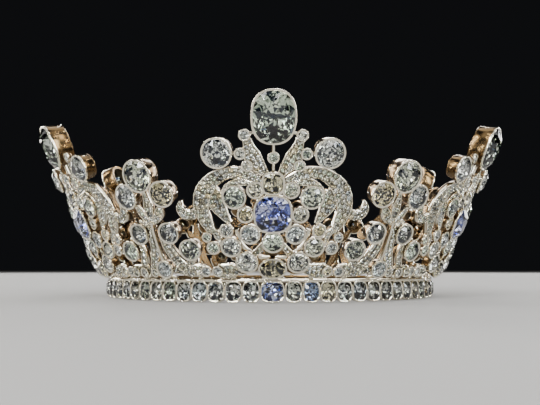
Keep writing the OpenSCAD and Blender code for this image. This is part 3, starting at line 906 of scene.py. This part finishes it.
# Ribbons of a heart: x and s in the parts named above, breadth in tenths of a scroll's
scroll = [
    (5.4, 42.6, 4), (8.2, 43.8, 5.4), (12, 45.2, 6.6), (17.8, 45.8, 6), (23.6, 43.4, 8.4), (27.5, 39.2, 10),
    (29.2, 34.4, 9.6), (29, 29.6, 8), (27.4, 25.4, 6.6), (25.9, 22.2, 4.6),
]
curl_rim = [(10.4, 41.8, 3.6), (13.2, 42, 4.6), (17.2, 41, 3.2), (19.8, 38.4, 2.6), (19.7, 34.8, 1.4)]
leaf_in = [(27, 38.6, 4), (24, 36.6, 9), (22.2, 32.2, 8.4), (20, 28.4, 5.6), (17.6, 24.6, 2)]
tail = [(26.4, 22.6, 4.4), (23.4, 20.6, 3.4), (22, 17.6, 3), (22.2, 15.5, 2.6)]
tail_out = [(26.6, 24, 4), (26.2, 22.2, 3), (26.5, 20.5, 3)]
strut = [(3.4, 16, 2.6), (5.6, 13, 3.6), (7.4, 10.9, 4.4)]
spray = [(3.2, 45.2, 4), (6, 48.6, 7.6), (8.2, 52, 9), (9.4, 55.2, 6.4), (10.2, 57.8, 5), (10.5, 58.8, 4.8)]
heart_foot = [(13.2, 4.5, 5), (15.4, 3.8, 6.4), (18, 3.5, 8.4), (22, 3.6, 8)]
hook_in = [(29.4, 32, 5), (33, 28.6, 5.4), (36.6, 28.8, 5.6), (39, 31.6, 4.6)]

top = setting(0, up(47), 14.4)
lobe_d = 11.6
lobe = beside(top, -42, lobe_d)
hook_gap = 1.6
hook_end = (
    pitch_at(lobe[1]) - lobe[0] - lobe_d / 2 - motif_gap - hook_gap, lobe[1] - lobe_d * 0.32, ribbon_w * 0.2
)


def heart_lines(rows):
    return [(hx(x), up(s), b / 10 * scroll_w) for x, s, b in rows]


def trefoil_lines(rows):
    return [(tx(x), up(s), b / 10 * ribbon_w) for x, s, b in rows]


def turned(rows):
    return [(-x, s, b) for x, s, b in rows]


right_ribbons = [heart_lines(rows) for rows in (scroll, leaf_in, curl_rim, tail, tail_out)]
right_ribbons.append(heart_lines(heart_foot) + [(foot_end[0], foot_end_s, bead_d * 0.9)])
right_ribbons.append(heart_lines(hook_in) + [hook_end])
right_ribbons += [heart_lines(rows) for rows in (strut, spray)]
# The rim along the inside of the bowl ends where the walls of its collets begin
bowl_rim = [
    bowl_at(-pi / 2 + (end_turn + pi / 2) * i / 4, 0.79) + (end_d * 0.25,) for i in range(5)
]
heart_collets = [cap, foot, oval] + both(shoulder, cheek, chin, curl, *bowl_sides)
heart_buds = [drop] + both(leaf_tip, leaf_lobe, leaf_heel, tail_eye, tail_bud, foot_end)

heart_work = Bench()
heart_diamonds = Bench()
heart_blue = Bench()
heart_pave = Bench()
heart_ribbons = right_ribbons + [turned(rows) for rows in right_ribbons]
for n, rows in enumerate(heart_ribbons):
    ribbon(heart_work, rows, lift=-ribbon_step * (n % len(right_ribbons)))
for rows in (bowl_rim, turned(bowl_rim)):
    ribbon(heart_work, rows, lift=-0.5)
heart_covers = [crest, centre, flank] + heart_collets + heart_buds
pave(heart_work, heart_pave, right_ribbons, heart_covers, mirror=True)
set_stone(heart_work, heart_diamonds, crest, 64, 0.34)
for c in both(flank):
    set_stone(heart_work, heart_diamonds, c, 48, 0.68)
set_stone(heart_work, heart_blue, centre, 48, 0.5)
for c in heart_collets:
    set_stone(heart_work, heart_diamonds, c, 28)
for c in heart_buds:
    set_stone(heart_work, heart_diamonds, c, 20)

# Knife wires and the pin of the crest, and the posts that carry the heart on the rail
wire_d = 1.3


def wire(bench, a, b, d, below=0.0):
    """A wire behind the face, from the wall of one setting to the wall of the next."""
    dx, ds = b[0] - a[0], b[1] - a[1]
    length = hypot(dx, ds)

    def at_wall(c, way):
        reach = 0.45 * (c[2] if abs(dx) > abs(ds) else c[3]) * way / length
        return on_face(c[0] + dx * reach, c[1] + ds * reach, -1)

    rod(bench, at_wall(a, 1), at_wall(b, -1), d, below=below)


wire(heart_work, cap, drop, wire_d)
wire(heart_work, drop, crest, wire_d)
crest_side = setting(crest_w * 0.38, leaf_tip[1] + 1, 0)
for side in (1, -1):
    wire(heart_work, on_side(leaf_tip, side), on_side(crest_side, side), wire_d)
    wire(heart_work, on_side(leaf_lobe, side), on_side(flank, side), wire_d)
    wire(heart_work, on_side(cheek, side), on_side(curl, side), wire_d * 1.6, below=plate_t)


def post(bench, x, s):
    """A post: a small foot on the rail, and a wire from it up to the back of the frieze."""
    a = x / radius_at(s)
    r = band_r - band_t / 2
    low = (r * sin(a), -r * cos(a), band_h + 0.5)
    rod(bench, low, on_face(x, s, -plate_t / 2), 1.2, 10)
    rod(bench, (low[0], low[1], band_h - 0.1), (low[0], low[1], band_h + 1), 2.4, 12, 0.6)


for x, s in ((0, up(4.4)), (hx(17.5), up(3.5)), (-hx(17.5), up(3.5))):
    post(heart_work, x, s)

# The pointed rose gold tip between the struts, all in the darkened gold of the backs and so in the same
# painted shade
tip_top, tip_low = foot[1] - foot_d * 0.4, oval[1] + oval_h * 0.4
tip_rows = [(0, tip_top, foot_d * 0.6), (0, (tip_top + tip_low) / 2, foot_d * 0.36), (0, tip_low, 1)]
ribbon(heart_work, tip_rows, lift=-0.5, all_gold=True)

# The gold here is a deep brown: painted shade on the backs of the hearts and trefoils, seen through the
# openwork
frieze_metal = metal(
    "frieze_silver_gilt", silver=(0.94, 0.885, 0.72, 1), gold=(0.155, 0.1, 0.045, 1), joint_depth=-0.9
)
# The dark and bright facet colours of each stone below are painted shade and painted highlights on its
# pavilion
sapphire = cut_stone(
    "blue_stone", clear=(0.86, 0.87, 1, 1), painted_shade=(0.015, 0.02, 0.14, 1), middle=(0.2, 0.26, 0.6, 1),
    painted_highlight=(0.9, 0.92, 1, 1), painted_shade_share=0.25, painted_highlight_share=0.52,
)
fine_diamond = cut_stone(
    "fine_diamond", clear=(1, 1, 1, 1), painted_shade=(0.05, 0.05, 0.05, 1), middle=(0.8, 0.79, 0.71, 1),
    painted_highlight=(1, 1, 0.92, 1), painted_shade_share=0.14, painted_highlight_share=0.6,
)
heart_meshes = (
    heart_work.mesh("heart_openwork", "POINT", 40),
    heart_pave.mesh("heart_pave", "FACE"),
    heart_diamonds.mesh("heart_diamonds", "FACE"),
    heart_blue.mesh("heart_blue", "FACE"),
)
for i in range(1, motifs + 1):
    azimuth = (i - 1) * 2 * pi / motifs
    work, fine, stones, blue = heart_meshes
    hang_on_ring(f"heart_openwork_{i}", work, [frieze_metal], [f"heart_{i}"], azimuth)
    hang_on_ring(f"heart_pave_{i}", fine, fine_diamond, [], azimuth)
    hang_on_ring(
        f"heart_diamonds_{i}", stones, diamond,
        [f"heart_stones_{i}", f"crest_stone_{i}", f"flank_stone_left_{i}", f"flank_stone_right_{i}"],
        azimuth,
    )
    hang_on_ring(f"heart_blue_{i}", blue, sapphire, [f"centre_stone_{i}"], azimuth)


# A trefoil stands between two hearts: three large collets on a knife-edge stem, three
# pointed leaves, and scrolls with four round collets in their eyes over a low garland.
# Its broader side faces the front, so the right half of the ring is drawn in mirror image.
eye_in = setting(tx(7.9), up(21.3), 9.8)
eye_out = setting(tx(16), up(13.6), 9.8)
base_d = 8.4
base = setting(tx(1), up(4.7), base_d)
base_end = setting(
    pitch_at(foot_end_s) * (1 - foot_reach) - motif_gap / 2 - bead_d / 2, foot_end_s, bead_d
)
trefoil_buds = both(base_end) + [
    setting(tx(-17.2), up(3.2), bead_d),
    setting(tx(-11.6), up(3), bead_d),
    setting(tx(-5.4), up(2.9), bead_d - 0.6),
]

# Ribbons of a trefoil, as for the heart, but breadth in tenths of a ribbon's
leaf_mid = [(0, 25.6, 4), (0, 29, 7), (0, 33, 9), (0, 37, 5.6), (0, 41, 2.4)]
leaf_front = [(0.4, 25.6, 4), (2.8, 27.6, 7.4), (5, 30.4, 8), (7.2, 34.4, 2)]
leaf_back = [(-0.4, 25.6, 4), (-3, 28.2, 6), (-5.2, 31.2, 5.4), (-7, 34.6, 1.6)]
stem = [(0, 26, 2.6), (-0.2, 20, 2.4), (0.4, 12, 2.4), (0.9, 8.8, 3.4)]
arch_back = [
    (-7, 26.8, 2), (-3.8, 25.4, 5.6), (-2.2, 22, 8), (-1.9, 17.6, 9.2), (-2.5, 12.3, 9.6), (-4.8, 7, 8),
    (-6.6, 3.4, 6.4),
]
arch_front = [(3.5, 20, 7), (4.3, 16, 8.8), (5.8, 12.6, 10), (8.6, 7.8, 10), (12.5, 3.8, 9.2)]
neck_front = [(15.4, 10.4, 7), (13.8, 6.6, 8), (12.6, 4, 8.6)]
arch_out = [(-15.5, 18.8, 2), (-12.4, 17.8, 5), (-10.4, 14.3, 7), (-10, 9.8, 7.6), (-12, 4.4, 7.6)]
base_front = [(5.4, 4, 5.6), (9, 4, 9), (12.5, 3.9, 12), (17, 3.8, 11)]
base_back = [(-3, 3, 5), (-5, 3, 5.4), (-9, 3.4, 8.6), (-13, 3.8, 10), (-18, 3.7, 10.4)]

trefoil_ribbons = [
    trefoil_lines(rows)
    for rows in (leaf_mid, leaf_front, leaf_back, arch_front, arch_back, arch_out, neck_front)
]
trefoil_ribbons.append(trefoil_lines(base_front) + [(base_end[0], foot_end_s, bead_d * 0.9)])
trefoil_ribbons.append(trefoil_lines(base_back) + [(-base_end[0], foot_end_s, bead_d * 0.9)])
trefoil_collets = [base] + both(lobe, eye_in, eye_out)

trefoil_work = Bench()
trefoil_diamonds = Bench()
trefoil_pave = Bench()
for n, rows in enumerate(trefoil_ribbons):
    ribbon(trefoil_work, rows, lift=-ribbon_step * n)
ribbon(trefoil_work, trefoil_lines(stem), lift=0.25)
pave(trefoil_work, trefoil_pave, trefoil_ribbons, [top] + trefoil_collets + trefoil_buds)
set_stone(trefoil_work, trefoil_diamonds, top, 48)
for c in trefoil_collets:
    set_stone(trefoil_work, trefoil_diamonds, c, 32)
for c in trefoil_buds:
    set_stone(trefoil_work, trefoil_diamonds, c, 20)
leaf_side = setting(tx(6.8), up(34), 0)
for side in (1, -1):
    wire(trefoil_work, on_side(lobe, side), on_side(leaf_side, side), wire_d)
for x, s in ((base[0], base[1] - base_d * 0.42), (tx(-16), up(3.6)), (tx(15), up(3.6))):
    post(trefoil_work, x, s)


def mirror_image(mesh):
    """The same piece seen in a mirror, for the other half of the ring."""
    made = mesh.copy()
    for v in made.vertices:
        v.co.x = -v.co.x
    made.flip_normals()
    made.name = mesh.name + "_mirrored"
    return made


trefoil_meshes = (
    trefoil_work.mesh("trefoil_openwork", "POINT", 40),
    trefoil_pave.mesh("trefoil_pave", "FACE"),
    trefoil_diamonds.mesh("trefoil_diamonds", "FACE"),
)
trefoil_mirrored = [mirror_image(mesh) for mesh in trefoil_meshes]
for i in range(1, motifs + 1):
    azimuth = (i - 0.5) * 2 * pi / motifs
    work, fine, stones = trefoil_mirrored if azimuth < pi else trefoil_meshes
    hang_on_ring(f"trefoil_openwork_{i}", work, [frieze_metal], [f"trefoil_{i}"], azimuth)
    hang_on_ring(f"trefoil_pave_{i}", fine, fine_diamond, [], azimuth)
    hang_on_ring(
        f"trefoil_diamonds_{i}", stones, diamond,
        [f"trefoil_stones_{i}", f"trefoil_top_stone_{i}"], azimuth,
    )


# The diadem stands on a plain pale floor under soft studio light. The photograph was taken
# from below the band, and here the camera stands as low as the floor lets it.
floor_mesh = bpy.data.meshes.new("floor")
floor_r = 12
floor_sides = 96
floor_rim = [
    (floor_r * cos(2 * pi * i / floor_sides), floor_r * sin(2 * pi * i / floor_sides), 0)
    for i in range(floor_sides)
]
floor_mesh.from_pydata(floor_rim, [], [tuple(range(floor_sides))])
floor = bpy.data.objects.new("floor", floor_mesh)
bpy.context.scene.collection.objects.link(floor)
floor.location.z = band_low.z
pale = bpy.data.materials.new("pale_floor")
pale.use_nodes = True
matt = pale.node_tree.nodes["Principled BSDF"].inputs
matt["Base Color"].default_value = (0.3, 0.296, 0.29, 1)
matt["Roughness"].default_value = 0.95
matt["Specular IOR Level"].default_value = 0.1
floor_mesh.materials.append(pale)

world = bpy.data.worlds.new("studio")
bpy.context.scene.world = world
world.use_nodes = True
world.node_tree.nodes["Background"].inputs["Color"].default_value = (0.006, 0.0063, 0.0072, 1)


def softbox(name, place, size, power, tint=(1, 1, 1)):
    """A square of light turned to the middle of the diadem."""
    light = bpy.data.lights.new(name, "AREA")
    light.shape = "RECTANGLE"
    light.size, light.size_y = size
    light.energy = power
    light.color = tint
    lamp = bpy.data.objects.new(name, light)
    bpy.context.scene.collection.objects.link(lamp)
    lamp.location = place
    lamp.rotation_euler = (Vector((0, 0, 0.04)) - Vector(place)).to_track_quat("-Z", "Y").to_euler()
    lamp.visible_camera = False


softbox("key", (-1.2, -1.9, 1.2), (0.53, 0.53), 34)
softbox("fill", (1.9, -1.45, 0.82), (0.38, 0.86), 17, (0.9, 0.95, 1))
softbox("overhead", (0, 0.36, 2.2), (1.2, 1.2), 10)
softbox("front_left", (-0.82, -2.3, 0.86), (0.29, 0.24), 9.2)
softbox("front_right", (1, -2.15, 1), (0.24, 0.24), 9.2)
softbox("back_left", (-1.7, 1.45, 0.72), (0.48, 1.2), 17, (1, 0.95, 0.88))
softbox("back_right", (1.45, 1.7, 0.84), (0.48, 1.2), 17)
# Pale cards with dark gaps between them, and small lamps, give the stones and the metal
# something to mirror. They stand far off, so that no edge of their light falls in sight.
lights_r = 2.4
# Turn from each light to the next, in radians, which never puts two in line
apart = 2.4


def on_dome(turn, degrees_up):
    height = radians(degrees_up)
    return (
        lights_r * cos(height) * sin(turn),
        -lights_r * cos(height) * cos(turn),
        lights_r * sin(height) + 0.05,
    )


cards = 30
card_heights = (10, 28, 50, 17, 38, 66)
for n in range(cards):
    # Every third card faces the front half
    turn = n * apart + 0.5 if n % 3 else (n / cards - 0.5) * 3.6
    card = (0.65, 0.52) if n % 2 else (0.44, 0.74)
    power = 8.5 if n % 3 == 1 else 1.5
    softbox(f"card_{n}", on_dome(turn, card_heights[n % 6]), card, power, (1, 0.985, 0.95))

small_lights = 40
small_light_heights = (8, 16, 27, 40, 58)
small_light_tints = ((1, 1, 1), (0.86, 0.92, 1), (1, 0.95, 0.86))
for n in range(small_lights):
    place = on_dome(n * apart, small_light_heights[n % 5])
    softbox(f"small_light_{n}", place, (0.082, 0.082), 2.6, small_light_tints[n % 3])

camera_data = bpy.data.cameras.new("camera")
camera_data.lens = 40.5
camera_data.sensor_width = 36
camera_data.clip_start = 0.005
camera = bpy.data.objects.new("camera", camera_data)
bpy.context.scene.collection.objects.link(camera)
camera.location = (-0.004, -0.345, 0.014)
camera_aim = Vector((0.0, 0.0, 0.052))
camera.rotation_euler = (camera_aim - camera.location).to_track_quat("-Z", "Y").to_euler()
bpy.context.scene.camera = camera
